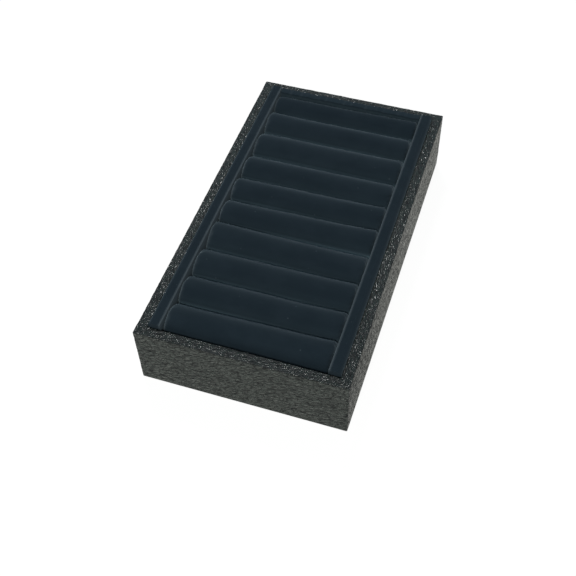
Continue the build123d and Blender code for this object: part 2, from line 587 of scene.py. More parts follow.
def cut_grid(bm: BMesh, low: Vector, high: Vector, cell: Triple) -> None:
    """Cuts a closed form by evenly spaced planes square to each axis.

    Args:
        bm: The form.
        low: Its lowest corner.
        high: Its highest corner.
        cell: The spacing of the cuts along each axis, in metres. 0 leaves an axis uncut.
    """
    for axis in range(3):
        if cell[axis] <= 0.0:
            continue
        span = high[axis] - low[axis]
        count = max(int(round(span / cell[axis])), 1)
        square = Vector([1.0 if n == axis else 0.0 for n in range(3)])
        for step in range(1, count):
            geometry = bm.verts[:] + bm.edges[:] + bm.faces[:]
            on_plane = square * (low[axis] + span * step / count)
            bmesh.ops.bisect_plane(bm, geom=geometry, dist=HAIR, plane_co=on_plane, plane_no=square)


def block(low: Vector, high: Vector) -> BMesh:
    """A plain block between two corners, to be worked further."""
    bm = bmesh.new()
    bmesh.ops.create_cube(bm, size=1.0)
    bmesh.ops.scale(bm, vec=high - low, verts=bm.verts)
    bmesh.ops.translate(bm, vec=(low + high) / 2, verts=bm.verts)
    return bm


def round_edges(bm: BMesh, edges: list[BMEdge], radius: float, segments: int) -> None:
    """Rounds edges to a radius."""
    bmesh.ops.bevel(
        bm, geom=edges, offset=radius, segments=segments, profile=0.5, affect="EDGES", material=-1
    )


def open_underside(bm: BMesh) -> None:
    """Takes away the faces that look down."""
    down = [face for face in bm.faces if face.normal.z < -0.9]
    bmesh.ops.delete(bm, geom=down, context="FACES")


def make_mesh(bm: BMesh, name: str) -> Mesh:
    """Turns a bmesh, which is used up, into a mesh of that name."""
    mesh = bpy.data.meshes.new(name)
    bm.to_mesh(mesh)
    bm.free()
    return mesh


def add_object(name: str, data: bpy.types.ID) -> Object:
    """Adds an object of that name to the scene."""
    added = bpy.data.objects.new(name, data)
    bpy.context.scene.collection.objects.link(added)
    return added


def dress(node: str, material: Material) -> None:
    """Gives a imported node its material."""
    slots = bpy.data.objects[node].data.materials
    slots.clear()
    slots.append(material)


def finish_piece(
    bm: BMesh, name: str, material: Material, body: Body, crease: float = 50.0
) -> Object:
    """Turns a mesh into a piece that rides on a body.

    Args:
        bm: The mesh, which is used up.
        name: The piece's name.
        material: Its finish.
        body: The body that it rides on.
        crease: The angle, in degrees, past which an edge looks sharp.

    Returns:
        The piece.
    """
    for face in bm.faces:
        face.smooth = True
    mesh = make_mesh(bm, name)
    mesh.set_sharp_from_angle(angle=math.radians(crease))
    mesh.materials.append(material)
    piece = add_object(name, mesh)
    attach(piece, body.value)
    return piece


def thicken(piece: Object, thickness: float) -> None:
    """Gives an open skin its thickness, inwards."""
    shell = piece.modifiers.new("thickness", "SOLIDIFY")
    shell.thickness = thickness
    shell.offset = -1.0
    shell.use_even_offset = True


@dataclass
class Tray:
    """The board tray: boards, felt and lining as packed, and a leatherette covering made anew."""

    leatherette: Material
    fibreboard: Material
    paper: Material
    felt: Material
    wall_thick: float = 5.6 * MM
    skin: float = 0.3 * MM
    turn_under: float = 12.0 * MM
    top_round: float = 0.45 * MM
    foot_round: float = 0.35 * MM
    foot_drop: float = 0.3 * MM
    foot_width: float = 1.2 * MM
    foot_rows: int = 4
    inner_round: float = 0.35 * MM
    corner_round: float = 0.45 * MM
    wall_cell: float = 0.63 * MM
    rim_cell: float = 0.5 * MM
    inner_rows: int = 8
    crease_angle: float = 70.0
    wrinkle: Triple = (4.6 * MM, 2.1 * MM, 1.0)
    wrinkle_height: float = 0.05 * MM
    pebble: Triple = (3.8 * MM, 1.3 * MM, 1.0)
    pebble_height: float = 0.06 * MM
    sag: Triple = (38 * MM, 22 * MM, 1.0)
    sag_height: float = 0.04 * MM
    slant: float = 0.28
    side_stretch: float = 0.72
    fold_depth: float = 0.16 * MM
    fold_rise: float = 0.12 * MM
    fold_reach: float = 7.0 * MM
    fold_crown: float = 0.25
    crease_half: float = 0.05 * MM
    joint_place: float = 14.0 * MM
    joint_rise: float = 0.2 * MM
    joint_fade: Range = (2 * MM, 12 * MM)
    near_end: Range = (5 * MM, 80 * MM)
    far_share: float = 0.32
    play: float = 0.1 * MM

    def __post_init__(self) -> None:
        """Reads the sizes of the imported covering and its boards."""
        self.low, self.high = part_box("leatherette_wrap")
        self.half_width = self.high.x
        self.half_length = self.high.y
        self.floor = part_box("base_board")[1].z

    def build(self) -> list[Object]:
        """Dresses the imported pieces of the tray, and makes and returns its covering."""
        self.dress_boards()
        name, angle = "leatherette_cover", self.crease_angle
        bm = self.covering()
        cover = finish_piece(bm, name, self.leatherette, Body.TRAY, angle)
        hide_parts("leatherette_wrap")
        return [cover]

    def dress_boards(self) -> None:
        """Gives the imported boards, felt and lining their materials."""
        for name in ("base", "left_wall", "right_wall", "near_wall", "far_wall"):
            dress(f"{name}_board", self.fibreboard)
        dress("floor_lining", self.paper)
        dress("underside_felt", self.felt)

    def covering(self) -> BMesh:
        """The covering: its cross-section swept round the tray, cut fine and embossed."""
        bm = self.cross_section().close()
        self.sweep(bm)
        self.round_corners(bm)
        self.cut_lengthways(bm)
        bmesh.ops.recalc_face_normals(bm, faces=bm.faces)
        self.map_grain(bm)
        self.mark_rim(bm)
        self.emboss(bm)
        return bm

    def cross_section(self) -> Pen:
        """The covering's cross-section, with Y as the depth in from the outer face."""
        foot, top = self.low.z, self.high.z
        wall_rows = round((top - foot) / self.wall_cell)
        rim_rows = round(self.wall_thick / self.rim_cell)
        quarter = -math.pi / 2
        pen = Pen(self.turn_under, foot)
        pen.line(self.foot_round + self.foot_width, foot, self.foot_rows)
        pen.line(self.foot_round, foot - self.foot_drop)
        pen.arc(self.foot_round, foot - self.foot_drop + self.foot_round, quarter, 2)
        pen.line(0.0, top - self.top_round, wall_rows)
        pen.arc(self.top_round, top - self.top_round, quarter, 3)
        pen.line(self.wall_thick - self.inner_round, top, rim_rows)
        pen.arc(self.wall_thick - self.inner_round, top - self.inner_round, quarter, 2)
        pen.line(self.wall_thick, self.floor, self.inner_rows)
        pen.line(self.wall_thick - self.skin, self.floor)
        pen.line(self.wall_thick - self.skin, top - self.skin)
        pen.line(self.skin, top - self.skin)
        pen.line(self.skin, foot + self.skin)
        pen.line(self.turn_under, foot + self.skin)
        return pen

    def sweep(self, bm: BMesh) -> None:
        """Carries the cross-section from corner to corner, mitred, and closes the ring."""
        lean = Matrix(
            ((1, 1, 0, -self.half_width), (0, 1, 0, -self.half_length), (0, 0, 1, 0), (0, 0, 0, 1))
        )
        bmesh.ops.transform(bm, matrix=lean, verts=bm.verts)
        section = bm.edges[:]
        across = Matrix.Diagonal((-1, 1, 1, 1))
        along = Matrix.Diagonal((1, -1, 1, 1))
        for flip in (across, along, across, along):
            made = bmesh.ops.extrude_edge_only(bm, edges=section)["geom"]
            section = [element for element in made if isinstance(element, BMEdge)]
            corner = [element for element in made if isinstance(element, BMVert)]
            bmesh.ops.transform(bm, matrix=flip, verts=corner)
            section = [edge for edge in section if all(vert in corner for vert in edge.verts)]
        bmesh.ops.remove_doubles(bm, verts=bm.verts, dist=HAIR)

    def depths(self, point: Vector) -> tuple[float, float]:
        """How far a point lies in from the nearer long face and from the nearer end face."""
        return self.half_width - abs(point.x), self.half_length - abs(point.y)

    def round_corners(self, bm: BMesh) -> None:
        """Rounds the four upright corners."""
        upright = []
        for edge in bm.edges:
            foot, head = (vert.co for vert in edge.verts)
            depths = [*self.depths(foot), *self.depths(head)]
            if (foot - head).xy.length < self.skin and max(depths) < self.skin / 2:
                upright.append(edge)
        round_edges(bm, upright, self.corner_round, 2)

    def cut_lengthways(self, bm: BMesh) -> None:
        """Cuts the long faces into a fine grid."""
        for axis, length in ((0, 2 * self.half_width), (1, 2 * self.half_length)):
            long_edges = []
            for edge in bm.edges:
                foot, head = (vert.co for vert in edge.verts)
                if abs(foot[axis] - head[axis]) > 0.7 * length:
                    long_edges.append(edge)
            cuts = round(length / self.wall_cell) - 1
            bmesh.ops.subdivide_edges(bm, edges=long_edges, cuts=cuts, use_grid_fill=True)

    def wall_of(self, point: Vector) -> Wall:
        """The wall whose strip of the covering holds a point."""
        side_depth, end_depth = self.depths(point)
        if end_depth <= side_depth:
            return Wall.NEAR if point.y < 0 else Wall.FAR
        return Wall.RIGHT if point.x > 0 else Wall.LEFT

    def unrolled(self, point: Vector, wall: Wall) -> Range:
        """Where a point lies on the flat covering.

        Args:
            point: The point, in the frame.
            wall: The wall whose strip it is read on.

        Returns:
            How far along the strips and how far across them it lies, in metres.
        """
        side_depth, end_depth = self.depths(point)
        width, length = 2 * self.half_width, 2 * self.half_length
        top = self.high.z
        along = (
            point.x + self.half_width,
            width + point.y + self.half_length,
            width + length + self.half_width - point.x,
            2 * width + length + self.half_length - point.y,
        )[wall.value]
        depth = side_depth if wall.is_long else end_depth
        if depth > self.wall_thick - self.play and point.z > self.floor - self.skin:
            return along, top + self.wall_thick + top - point.z
        if point.z > top - self.skin / 2:
            return along, top + depth
        if point.z < self.low.z + self.skin / 2:
            return along, -depth
        return along, point.z

    def is_upright(self, point: Vector, wall: Wall) -> bool:
        """Whether the grain runs up the wall at a point: so on the long walls below the rim."""
        return wall.is_long and point.z < self.high.z - self.top_round / 2

    def grain_place(self, point: Vector, wall: Wall, upright: bool) -> Range:
        """Where a point lies on the flat covering, first along the grain and then across it."""
        along, across = self.unrolled(point, wall)
        return (across, self.side_stretch * along) if upright else (along, across)

    def map_grain(self, bm: BMesh) -> None:
        """Gives every face its place on the flat covering, for the grain to follow."""
        layer = bm.loops.layers.uv.new("grain")
        for face in bm.faces:
            middle = face.calc_center_median()
            wall = self.wall_of(middle)
            upright = self.is_upright(middle, wall)
            for loop in face.loops:
                loop[layer].uv = self.grain_place(loop.vert.co, wall, upright)

    def mark_rim(self, bm: BMesh) -> None:
        """Marks the rim top, most at the near end: its colour is darkened there as painted shade,
        and its grain is deeper and glossier where the covering is pulled tight.
        """
        rim = bm.verts.layers.float.new("rim")
        near_from, near_to = self.near_end
        for vert in bm.verts:
            near = 1.0 - smoothstep(vert.co.y - self.low.y, near_from, near_to)
            top = smoothstep(vert.co.z, self.high.z - self.top_round, self.high.z - self.play)
            vert[rim] = top * (self.far_share + (1.0 - self.far_share) * near)

    def is_outer(self, point: Vector) -> bool:
        """Whether a point is on the covering's outer skin, above its foot."""
        depth = min(self.depths(point))
        if point.z < self.low.z + self.foot_round / 2:
            return False
        on_top = point.z > self.high.z - self.skin / 2
        return depth < self.skin / 2 or on_top or depth > self.wall_thick - self.play

    def emboss(self, bm: BMesh) -> None:
        """Moves the outer skin to its wrinkles, sags, mitred folds and joint."""
        bm.normal_update()
        moves = []
        for vert in bm.verts:
            if self.is_outer(vert.co):
                moves.append((vert, vert.normal * self.rise(vert.co)))
        for vert, move in moves:
            vert.co += move

    def rise(self, point: Vector) -> float:
        """How far the skin stands out at a point."""
        wall = self.wall_of(point)
        along, across = self.grain_place(point, wall, self.is_upright(point, wall))
        slanted = (along + self.slant * across, across - self.slant * along, 0.0)
        height = self.wrinkle_height * swell((along, across, 0.0), self.wrinkle, seed=3.1)
        height += self.pebble_height * swell(slanted, self.pebble, seed=7.7)
        height += self.sag_height * swell((along, across, 0.0), self.sag, seed=1.7)
        if point.z > self.high.z - self.skin:
            height += self.fold(point)
        elif wall is Wall.FAR:
            height += self.joint_rise * self.joint(along)
        return height

    def fold(self, point: Vector) -> float:
        """The mitred fold at a corner of the rim: a crease, and the ply on top beside it."""
        side_depth, end_depth = self.depths(point)
        off = (end_depth - side_depth) / math.sqrt(2)
        if off < -self.crease_half or off > self.fold_reach:
            return 0.0
        if off < self.crease_half:
            return -self.fold_depth
        crown = self.fold_crown * self.fold_reach
        return self.fold_rise * (1.0 - smoothstep(off, crown, self.fold_reach))

    def joint(self, along: float) -> float:
        """The overlap on the far wall where the covering starts and ends."""
        off = along - (2 * self.half_width + 2 * self.half_length + self.joint_place)
        return smoothstep(off, 0.0, self.wall_cell) * (1.0 - smoothstep(off, *self.joint_fade))


@dataclass
class Rail:
    """A velvet-covered board down one side of the pad."""

    side: Side
    inner_round: float = 0.4 * MM
    outer_round: float = 2.0 * MM
    fit: float = 0.22 * MM
    thickness: float = 0.6 * MM
    cell: float = 1.4 * MM
    waver: float = 0.10 * MM
    waver_depth: float = 8 * MM
    dip_cell: Triple = (17 * MM, 9 * MM, 1.0)
    pull_cell: Triple = (13 * MM, 1.0, 10 * MM)
    wear_sheen: float = 1.25
    edge_light_width: float = 0.5 * MM

    @property
    def word(self) -> str:
        """The side's name."""
        return self.side.name.lower()

    def build(self, velvet: Material) -> Object:
        """Makes the velvet cover of the rail."""
        low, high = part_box(f"{self.word}_rail_velvet")
        inner_x, outer_x = (low.x, high.x) if self.side is Side.RIGHT else (high.x, low.x)
        outer_x += self.side.value * self.fit
        low.x, high.x = min(inner_x, outer_x), max(inner_x, outer_x)
        high.y += self.fit
        bm = block(low, high)
        round_edges(bm, self.top_edges(bm, high.z, outer_x), self.outer_round, 6)
        round_edges(bm, self.top_edges(bm, high.z, inner_x), self.inner_round, 3)
        cut_grid(bm, low, high, (self.cell, self.cell, 3 * self.cell))
        open_underside(bm)
        # a painted sheen highlight along the rail's inner top edge, partly real wear
        wear_sheen = bm.verts.layers.float.new("wear_and_sheen")
        for vert in bm.verts:
            off = math.hypot(vert.co.x - inner_x, vert.co.z - high.z)
            vert[wear_sheen] = self.wear_sheen * math.exp(-((off / self.edge_light_width) ** 2))
        self.waver_top(bm, low, high)
        piece = finish_piece(bm, f"{self.word}_rail_cover", velvet, Body.PAD)
        thicken(piece, self.thickness)
        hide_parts(f"{self.word}_rail_velvet")
        return piece

    def top_edges(self, bm: BMesh, top: float, x: float) -> list[BMEdge]:
        """The top edge that runs along the rail at x."""
        found = []
        for edge in bm.edges:
            if all(vert.co.z > top - HAIR and abs(vert.co.x - x) < HAIR for vert in edge.verts):
                found.append(edge)
        return found

    def waver_top(self, bm: BMesh, low: Vector, high: Vector) -> None:
        """Lets the covered edges waver a little, as pulled cloth does, within the rail's space."""
        seed = 2.0 + self.side.value
        for vert in bm.verts:
            share = self.waver * smoothstep(vert.co.z, high.z - self.waver_depth, high.z)
            dip = swell((vert.co.y, vert.co.x, 0.0), self.dip_cell, seed)
            vert.co.z -= share * (0.5 + 0.5 * dip)
            inward = (low.x + high.x) / 2 - vert.co.x
            pull = swell((vert.co.y, 0.0, vert.co.z), self.pull_cell, seed + 5.0)
            vert.co.x += math.copysign(min(abs(inward), share * (0.5 + 0.5 * pull)), inward)


@dataclass
class FarStrip:
    """The thin velvet-covered card behind the farthest bar, its cloth loosely wrinkled."""

    round: float = 0.4 * MM
    thickness: float = 0.45 * MM
    fit: float = 0.22 * MM
    cell: float = 0.8 * MM
    wrinkle: float = 0.55 * MM
    slackness: float = 0.6
    ruck_cell: Triple = (5 * MM, 1.0, 9 * MM)
    ruck_share: float = 0.7
    crumple_cell: Triple = (2.2 * MM, 1.0, 2.6 * MM)
    crumple_share: float = 0.5
    wrinkled_from: float = 8 * MM
    wrinkled_to: float = 4 * MM
    wear_sheen: float = 0.12
    strip_fill_light: float = 0.06
    fill_light_below: float = 0.18
    fill_light_range: Range = (0.2 * MM, 2.0 * MM)
    face_depth: float = 0.3 * MM
    crown_depth: float = 2 * MM

    def build(self, velvet: Material) -> Object:
        """Makes the velvet cover of the strip."""
        low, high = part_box("far_strip_velvet")
        high.y += self.fit
        bm = block(low, high)
        upper = [edge for edge in bm.edges if all(vert.co.z > high.z - HAIR for vert in edge.verts)]
        round_edges(bm, upper, self.round, 3)
        cut_grid(bm, low, high, (self.cell, 0.0, self.cell))
        open_underside(bm)
        wear_sheen = bm.verts.layers.float.new("wear_and_sheen")
        painted_fill_light = bm.verts.layers.float.new("painted_fill_light")
        wrinkled = (low.z + self.wrinkled_from, high.z - self.wrinkled_to)
        for vert in bm.verts:
            place = (vert.co.x, 0.0, vert.co.z)
            ruck = self.ruck_share * swell(place, self.ruck_cell, seed=11.0)
            crumple = swell(place, self.crumple_cell, seed=15.0)
            # painted highlights on the raised crumples of the cloth
            vert[wear_sheen] = self.wear_sheen * max(crumple, 0.0)
            # painted fill light on the strip's velvet, more lower down, against the shade behind
            # the farthest bar
            below = smoothstep(high.z - vert.co.z, *self.fill_light_range)
            vert[painted_fill_light] = self.strip_fill_light + self.fill_light_below * below
            upper_share = smoothstep(vert.co.z, *wrinkled)
            near_share = smoothstep(vert.co.y, high.y - self.face_depth, low.y)
            crown_share = smoothstep(vert.co.z, high.z - self.crown_depth, high.z)
            looseness = self.slackness + ruck + self.crumple_share * crumple
            push = upper_share * self.wrinkle * looseness
            vert.co.y -= near_share * max(push, 0.0) / 2
            vert.co.z -= upper_share * crown_share * abs(push) / 2
        piece = finish_piece(bm, "far_strip_cover", velvet, Body.PAD)
        thicken(piece, self.thickness)
        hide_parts("far_strip_velvet")
        return piece


@dataclass
class RollShape:
    """The form of a soft bar: upright sides, round shoulders and a flatter crown."""

    low: Vector
    high: Vector
    shoulder: float = 6.2 * MM
    flattening: float = 1.9 * MM
    end_round: float = 1.6 * MM
    shoulder_steps: int = 8
    crown_steps: int = 6
    end_steps: int = 5
    cell: Triple = (1.5 * MM, 1.5 * MM, 2.2 * MM)

    def blank(self, inset: float = 0.0) -> BMesh:
        """The closed form.

        Args:
            inset: How far it lies below the bar's own face, in metres.

        Returns:
            The form, cut to a grid.
        """
        low = self.low + Vector((inset, inset, 0.0))
        high = self.high - Vector((inset, inset, inset))
        half = (high.y - low.y) / 2
        middle = (high.y + low.y) / 2
        shoulder = min(self.shoulder, 0.95 * (half + inset)) - inset
        crown = half + self.flattening
        lean = math.asin((half - shoulder) / (crown - shoulder))
        spring = high.z - crown + (crown - shoulder) * math.cos(lean)
        pen = Pen(low.y, low.z)
        pen.line(low.y, spring)
        pen.arc(low.y + shoulder, spring, lean - math.pi / 2, self.shoulder_steps)
        pen.arc(middle, high.z - crown, -2 * lean, self.crown_steps)
        pen.arc(high.y - shoulder, spring, lean - math.pi / 2, self.shoulder_steps)
        pen.line(high.y, low.z)
        bm = pen.close()
        bmesh.ops.contextual_create(bm, geom=bm.edges[:])
        bmesh.ops.translate(bm, vec=(low.x, 0.0, 0.0), verts=bm.verts)
        made = bmesh.ops.extrude_face_region(bm, geom=bm.faces[:])["geom"]
        far_end = [element for element in made if isinstance(element, BMVert)]
        bmesh.ops.translate(bm, vec=(high.x - low.x, 0.0, 0.0), verts=far_end)
        bmesh.ops.recalc_face_normals(bm, faces=bm.faces)
        ends = [edge for edge in bm.edges if self.is_end_edge(edge, low)]
        round_edges(bm, ends, self.end_round - inset, self.end_steps)
        cut_grid(bm, low, high, self.cell)
        return bm

    def is_end_edge(self, edge: BMEdge, low: Vector) -> bool:
        """Whether an edge goes round an end of the bar, its foot left out."""
        first, second = (vert.co for vert in edge.verts)
        return abs(first.x - second.x) <= HAIR and max(first.z, second.z) > low.z + HAIR


@dataclass
class Stuffing:
    """Swells the bars' covers by a short cloth simulation, as the foam inside them does."""

    upscale: float = 20.0
    voxel: float = 1.3 * MM
    slack: float = 0.1 * MM
    pressure: float = 6.0
    frames: int = 20
    quality: int = 5
    reach: float = 0.5 * MM
    held_height: float = 18.0 * MM

    def swell(self, blanks: list[BMesh]) -> list[BMesh]:
        """Swells all the covers at once.

        Args:
            blanks: The closed covers, a little slack. They are used up.

        Returns:
            The swollen covers.
        """
        trials = [self.prepare(blank) for blank in blanks]
        scene = bpy.context.scene
        for frame in range(1, self.frames + 1):
            scene.frame_set(frame)
        swollen = [self.take(trial) for trial in trials]
        scene.frame_set(1)
        return swollen

    def prepare(self, blank: BMesh) -> Object:
        """Makes an enlarged, evenly meshed copy of a cover: cloth under pressure, its foot held."""
        bmesh.ops.scale(blank, vec=Vector((self.upscale,) * 3), verts=blank.verts)
        rough = add_object("trial", make_mesh(blank, "trial"))
        remesh = rough.modifiers.new("even", "REMESH")
        remesh.mode = "VOXEL"
        remesh.voxel_size = self.voxel * self.upscale
        rough.data = self.evaluated_mesh(rough)
        rough.modifiers.clear()
        foot = min(vert.co.z for vert in rough.data.vertices)
        held = rough.vertex_groups.new(name="held")
        for vert in rough.data.vertices:
            if vert.co.z < foot + self.held_height * self.upscale:
                held.add([vert.index], 1.0, "REPLACE")
        cloth = rough.modifiers.new("cloth", "CLOTH")
        cloth.settings.quality = self.quality
        cloth.settings.use_pressure = True
        cloth.settings.uniform_pressure_force = self.pressure
        cloth.settings.effector_weights.gravity = 0.0
        cloth.settings.vertex_group_mass = held.name
        cloth.collision_settings.use_collision = False
        cloth.point_cache.frame_start = 1
        cloth.point_cache.frame_end = self.frames
        return rough

    def evaluated_mesh(self, piece: Object) -> Mesh:
        """A mesh with the piece's modifiers applied."""
        depsgraph = bpy.context.evaluated_depsgraph_get()
        return bpy.data.meshes.new_from_object(piece.evaluated_get(depsgraph))

    def take(self, trial: Object) -> BMesh:
        """Reads a swollen cover at its real size and drops the trial.

        Args:
            trial: The enlarged cloth, swollen.

        Returns:
            The cover, with no point moved further than the reach.
        """
        mesh = self.evaluated_mesh(trial)
        bm = bmesh.new()
        bm.from_mesh(mesh)
        furthest = self.reach * self.upscale
        moved = 0.0
        for vert, start in zip(bm.verts, trial.data.vertices, strict=True):
            move = vert.co - start.co
            moved = max(moved, move.length)
            if move.length > furthest:
                vert.co = start.co + move * (furthest / move.length)
            vert.co /= self.upscale
        moved /= self.upscale * MM
        LOG.info("cloth: %d points, furthest move %.2f mm", len(bm.verts), moved)
        bpy.data.objects.remove(trial)
        bpy.data.meshes.remove(mesh)
        return bm


@dataclass
class RingPad:
    """The lift-out pad: a card and a foam underlay, two rails, a thin strip and ten soft bars.

    The tuples run over the bars, from the farthest to the nearest, and are in millimetres.
    """

    velvet: Material
    rail_velvet_shaded: Material
    shaded_velvet: Material
    foam: Material
    fibreboard: Material
    card: Material
    bar_count: int = 10
    skin: float = 0.6 * MM
    core_inset: float = 0.95 * MM
    crown_height: float = 9.0 * MM
    slot_starts: tuple[float, ...] = (3.6, 4.1, 4.4, 3.85, 4.15, 4.3, 4.7, 4.4, 4.5, 4.65)
    skews: tuple[float, ...] = (0.4, -0.25, 0.15, 0.7, 0.9, 1.3, -0.95, 0.5, 0.6, 1.1)
    leans: tuple[float, ...] = (0.0, 0.7, 0.3, 0.0, 1.1, 0.8, 0.6, 0.4, 0.7, 0.8)
    wander: float = 0.25 * MM
    wander_cell: Triple = (30 * MM, 1.0, 1.0)
    dip: float = 0.15 * MM
    dip_cell: Triple = (26 * MM, 14 * MM, 1.0)
    clearance: float = 0.05 * MM
    end_sheen: float = 0.4
    end_facing: float = -0.7
    end_spread: float = 0.25
    # fill light painted into the velvet's colour on the bars' shoulders and in their slots, against
    # the shade there
    shoulder_fill_light: float = 0.06
    shoulder_range: Range = (0.8 * MM, 4.0 * MM)
    slot_fill_light: float = 0.38
    slot_range: Range = (0.0, 2.0 * MM)
    deep_fill_light: float = 0.6
    deep_range: Range = (1.4 * MM, 2.4 * MM)
    dark_range: Range = (4.0 * MM, 7.0 * MM)
    underlay_round: float = 0.6 * MM
    underlay_cell: Triple = (4 * MM, 4 * MM, 2.5 * MM)
    underlay_swell: Triple = (6 * MM, 6 * MM, 5 * MM)
    underlay_sink: float = 0.06 * MM

    def build(self) -> list[Object]:
        """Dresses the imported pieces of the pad, and makes and returns the others."""
        for name in ("left_rail_board", "right_rail_board"):
            dress(name, self.fibreboard)
        for name in ("pad_card", "far_strip_card"):
            dress(name, self.card)
        pieces = [self.make_underlay()]
        pieces += [Rail(side).build(self.rail_velvet_shaded) for side in Side]
        pieces.append(FarStrip().build(self.shaded_velvet))
        for number, cover in enumerate(self.make_covers(), 1):
            pieces += [self.make_core(number), self.finish_bar(number, cover)]
        return pieces

    def make_underlay(self) -> Object:
        """Makes the foam slab that the bars stand on."""
        low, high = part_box("foam_underlay")
        bm = block(low, high)
        round_edges(bm, bm.edges[:], self.underlay_round, 2)
        cut_grid(bm, low, high, self.underlay_cell)
        bm.normal_update()
        for vert in bm.verts:
            unevenness = 1.0 + swell(tuple(vert.co), self.underlay_swell, seed=4.0)
            vert.co -= vert.normal * self.underlay_sink * unevenness
        slab = finish_piece(bm, "foam_underlay_slab", self.foam, Body.PAD)
        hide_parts("foam_underlay")
        return slab

    def bar_blank(self, number: int, inset: float) -> BMesh:
        """The closed form of a bar, as it lies in the pad, at an inset below its own face."""
        low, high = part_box(f"velvet_bar_{number:02d}")
        bm = RollShape(low, high).blank(inset)
        self.relax(bm, number, low, high)
        return bm

    def make_covers(self) -> list[BMesh]:
        """The closed covers of all the bars, swollen by their foam."""
        numbers = range(1, self.bar_count + 1)
        stuffing = Stuffing()
        return stuffing.swell([self.bar_blank(number, stuffing.slack) for number in numbers])

    def make_core(self, number: int) -> Object:
        """Makes the foam core of a bar."""
        blank = self.bar_blank(number, self.core_inset)
        core = finish_piece(blank, f"foam_core_{number:02d}", self.foam, Body.PAD)
        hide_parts(f"foam_bar_{number:02d}")
        return core

    def finish_bar(self, number: int, cover: BMesh) -> Object:
        """Marks, opens and dresses the velvet cover of a bar."""
        low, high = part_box(f"velvet_bar_{number:02d}")
        for vert in cover.verts:
            vert.co.x = clamp(vert.co.x, low.x - self.clearance, high.x + self.clearance)
            vert.co.y = clamp(vert.co.y, low.y - self.clearance, high.y + self.clearance)
        cover.normal_update()
        wear_sheen = cover.verts.layers.float.new("wear_and_sheen")
        painted_fill_light = cover.verts.layers.float.new("painted_fill_light")
        for vert in cover.verts:
            # a painted sheen highlight along the bars' left end edges
            off = (vert.normal.x - self.end_facing) / self.end_spread
            vert[wear_sheen] = self.end_sheen * math.exp(-(off**2))
            # painted fill light on the shoulders and in the slots
            vert[painted_fill_light] = self.painted_slot_light(number, vert.normal.y, high.z - vert.co.z)
        open_underside(cover)
        # the farthest bar takes the weaker-sheen copy, as painted shade
        velvet = self.shaded_velvet if number == 1 else self.velvet
        roll = finish_piece(cover, f"velvet_roll_{number:02d}", velvet, Body.PAD)
        smooth = roll.modifiers.new("smooth", "SUBSURF")
        smooth.levels = 1
        smooth.render_levels = 1
        thicken(roll, self.skin)
        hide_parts(f"velvet_bar_{number:02d}")
        return roll

    def painted_slot_light(self, number: int, facing: float, depth: float) -> float:
        """How much fill light is painted on a bar's shoulders and in its slot, against the shade
        there.

        Args:
            number: The bar.
            facing: How far the surface faces the far end, from -1 to 1.
            depth: How far it lies below the bar's crown, in metres.

        Returns:
            0 where no light is painted, rising where more is painted.
        """
        # no painted fill light on the near face of the nearest bar
        if number == self.bar_count and facing < 0.0:
            return 0.0
        below = depth - self.slot_starts[number - 1] * MM
        slot = self.slot_fill_light * smoothstep(below, *self.slot_range)
        slot += self.deep_fill_light * smoothstep(below, *self.deep_range)
        slot *= 1.0 - smoothstep(below, *self.dark_range)
        return self.shoulder_fill_light * smoothstep(depth, *self.shoulder_range) + slot

    def relax(self, bm: BMesh, number: int, low: Vector, high: Vector) -> None:
        """Skews the crown of a bar and lets its height waver, as a hand-laid bar does."""
        skew = self.skews[number - 1] * MM
        lean = self.leans[number - 1] * MM
        half_length = (high.x - low.x) / 2
        wander_seed, dip_seed = 2.0 + 3.7 * number, 5.0 + 2.3 * number
        for vert in bm.verts:
            lift = smoothstep(vert.co.z, high.z - self.crown_height, high.z)
            wander = self.wander * swell((vert.co.x, 0.0, 0.0), self.wander_cell, wander_seed)
            dip = self.dip * swell((vert.co.x, vert.co.y, 0.0), self.dip_cell, dip_seed)
            moved = vert.co.y + lift * (lean + skew * vert.co.x / half_length + wander)
            vert.co.y = clamp(moved, low.y - self.clearance, high.y + self.clearance)
            vert.co.z += lift * dip


@dataclass
class Lamp:
    """A soft flat lamp."""

    name: str
    place: Triple
    size: tuple[float, float]
    power: float
    colour: Triple = (1.0, 1.0, 1.0)

    def build(self, target: Vector) -> None:
        """Hangs the lamp in its place, turned to the target."""
        data = bpy.data.lights.new(self.name, "AREA")
        data.shape = "RECTANGLE"
        data.size, data.size_y = self.size
        data.energy = self.power
        data.color = self.colour
        lamp = add_object(self.name, data)
        lamp.location = self.place
        lamp.rotation_euler = (target - lamp.location).to_track_quat("-Z", "Y").to_euler()
        lamp.visible_camera = False


